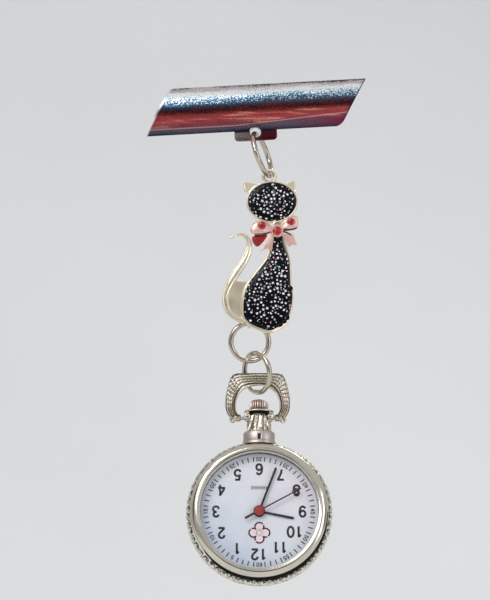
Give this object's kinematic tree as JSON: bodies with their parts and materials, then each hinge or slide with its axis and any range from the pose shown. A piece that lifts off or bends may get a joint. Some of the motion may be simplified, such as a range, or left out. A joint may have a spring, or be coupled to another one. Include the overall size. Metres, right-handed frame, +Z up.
{
  "type": "fob watch",
  "caption": "Pin-on fob watch: a brooch bar, an enamelled animal charm, jump rings and a bail that carry a round quartz watch with an upside-down dial.",
  "frame": {"origin": "middle of the flat back of the brooch's pin base, which lies against the cloth", "axes": "+Z up as it hangs when worn, +X to the viewer's right, -Y towards the viewer, out of the dial"},
  "size_m": [0.0432, 0.0155, 0.0985],
  "materials": {
    "brooch_chrome": "mirror polished",
    "pin_steel": "drawn and stamped, satin",
    "ring_plate": "bright plated wire",
    "charm_metal": "pale gold plate, cast and polished",
    "glitter_enamel": "clear gloss over glitter",
    "bow_metal": "rose plate, polished",
    "red_stone": "polished",
    "case_plate": "plated casting, relief left matt and tops polished",
    "bezel_chrome": "mirror polished",
    "back_steel": "fine circular brushing",
    "crystal_glass": "clear, domed",
    "gasket_rubber": "matt",
    "dial_white": "satin white print",
    "hand_black": "gloss black",
    "hand_red": "gloss red",
    "movement_steel": "satin",
    "movement_brass": "satin",
    "coil_copper": "fine enamelled wire",
    "board_green": "solder mask",
    "can_metal": "drawn",
    "ring_nylon": "moulded"
  },
  "bodies": {
    "brooch": {"brooch_plate": "brooch_chrome", "pin_base": "pin_steel", "pin_hinge_rivet": "pin_steel", "catch_housing": "pin_steel"},
    "pin": {"pin_stem": "pin_steel"},
    "catch": {"catch_lock": "pin_steel"},
    "top_link": {"top_ring": "ring_plate"},
    "charm": {"charm_plate": "charm_metal", "head_enamel": "glitter_enamel", "body_enamel": "glitter_enamel", "ribbon_bow": "bow_metal", "bow_stone_left": "red_stone", "bow_stone_middle": "red_stone", "bow_stone_right": "red_stone"},
    "middle_link": {"middle_ring": "ring_plate"},
    "lower_link": {"lower_ring": "ring_plate"},
    "bow": {"bail": "case_plate"},
    "watch": {"case_middle": "case_plate", "pendant": "case_plate", "case_back": "back_steel", "bezel": "bezel_chrome", "crystal": "crystal_glass", "crystal_gasket": "ring_nylon", "dial_flange": "bezel_chrome", "dial": "dial_white", "back_gasket": "gasket_rubber", "bail_pin_left": "movement_steel", "bail_pin_right": "movement_steel", "movement_ring": "ring_nylon", "main_plate": "movement_brass", "train_bridge": "movement_steel", "bridge_screw_1": "movement_steel", "bridge_screw_2": "movement_steel", "bridge_screw_3": "movement_steel", "battery": "movement_steel", "battery_strap": "movement_brass", "coil": "coil_copper", "stator": "movement_steel", "circuit_board": "board_green", "quartz_can": "can_metal"},
    "setting": {"sliding_pinion": "movement_steel"},
    "winder": {"crown": "case_plate", "winding_stem": "movement_steel"},
    "seconds": {"second_hand": "hand_red", "second_wheel": "movement_brass"},
    "minutes": {"minute_hand": "hand_black", "centre_wheel": "movement_brass"},
    "hours": {"hour_hand": "hand_black", "hour_wheel": "movement_brass"},
    "minute_gear": {"minute_wheel": "movement_brass"},
    "third_gear": {"third_wheel": "movement_brass"},
    "fifth_gear": {"fifth_wheel": "movement_brass"},
    "step_rotor": {"rotor": "movement_steel"}
  },
  "joints": [
    {"name": "pin_hinge", "type": "hinge", "parent": "brooch", "child": "pin", "pos_m": [-0.01498, 0.0027, -0.00082], "axis": [-0.0549, 0, 0.9985], "range_deg": [0, 60]},
    {"name": "catch_roll", "type": "hinge", "parent": "brooch", "child": "catch", "pos_m": [0.01448, 0.0027, 0.0008], "axis": [0.9985, 0, 0.0549], "range_deg": [-90, 0]},
    {"name": "top_ring_swing", "type": "hinge", "parent": "brooch", "child": "top_link", "pos_m": [-0.0001, -0.00035, -0.00525], "axis": [0, 1, 0], "range_deg": [-30, 60]},
    {"name": "charm_swing", "type": "hinge", "parent": "top_link", "child": "charm", "pos_m": [0.00124, -0.00035, -0.00939], "axis": [0.9142, -0.2756, 0.2971], "range_deg": [-75, 75]},
    {"name": "middle_ring_swing", "type": "hinge", "parent": "charm", "child": "middle_link", "pos_m": [-0.00117, -0.00035, -0.04225], "axis": [1, 0, 0], "range_deg": [-8, 60]},
    {"name": "lower_ring_swing", "type": "hinge", "parent": "middle_link", "child": "lower_link", "pos_m": [0, -0.00035, -0.04936], "axis": [-1, 0, 0], "range_deg": [-45, 45]},
    {"name": "bail_sway", "type": "hinge", "parent": "lower_link", "child": "bow", "pos_m": [0.0008, -0.00035, -0.055], "axis": [0, 1, 0], "range_deg": [-18, 18]},
    {"name": "watch_swing", "type": "hinge", "parent": "bow", "child": "watch", "pos_m": [0.0006, -0.00035, -0.0606], "axis": [-1, 0, 0], "range_deg": [-98, 72]},
    {"name": "crown_pull", "type": "slide", "parent": "watch", "child": "setting", "axis": [0, 0.225, 0.9744], "range_m": [0, 0.0008]},
    {"name": "crown_turn", "type": "hinge", "parent": "setting", "child": "winder", "pos_m": [0.0006, 0.00023, -0.05807], "axis": [0, 0.225, 0.9744], "continuous": true},
    {"name": "second_turn", "type": "hinge", "parent": "watch", "child": "seconds", "pos_m": [0.0006, -0.00455, -0.0788], "axis": [0, 0.9744, -0.225], "continuous": true},
    {"name": "minute_turn", "type": "hinge", "parent": "watch", "child": "minutes", "pos_m": [0.0006, -0.00455, -0.0788], "axis": [0, 0.9744, -0.225], "continuous": true},
    {"name": "hour_turn", "type": "hinge", "parent": "watch", "child": "hours", "pos_m": [0.0006, -0.00455, -0.0788], "axis": [0, 0.9744, -0.225], "continuous": true},
    {"name": "minute_wheel_turn", "type": "hinge", "parent": "watch", "child": "minute_gear", "pos_m": [0.0006, -0.00509, -0.08114], "axis": [0, 0.9744, -0.225], "continuous": true},
    {"name": "third_wheel_turn", "type": "hinge", "parent": "watch", "child": "third_gear", "pos_m": [-0.0007, -0.00405, -0.07661], "axis": [0, 0.9744, -0.225], "continuous": true},
    {"name": "fifth_wheel_turn", "type": "hinge", "parent": "watch", "child": "fifth_gear", "pos_m": [0.00307, -0.00435, -0.07793], "axis": [0, 0.9744, -0.225], "continuous": true},
    {"name": "rotor_turn", "type": "hinge", "parent": "watch", "child": "step_rotor", "pos_m": [0.00487, -0.0042, -0.07729], "axis": [0, 0.9744, -0.225], "continuous": true}
  ],
  "couplings": [
    {"joint": "minute_turn", "follows": "second_turn", "ratio": 0.016667},
    {"joint": "hour_turn", "follows": "second_turn", "ratio": 0.0013889},
    {"joint": "minute_wheel_turn", "follows": "second_turn", "ratio": -0.0055556},
    {"joint": "third_wheel_turn", "follows": "second_turn", "ratio": -0.13333},
    {"joint": "fifth_wheel_turn", "follows": "second_turn", "ratio": -6},
    {"joint": "rotor_turn", "follows": "second_turn", "ratio": 30}
  ]
}
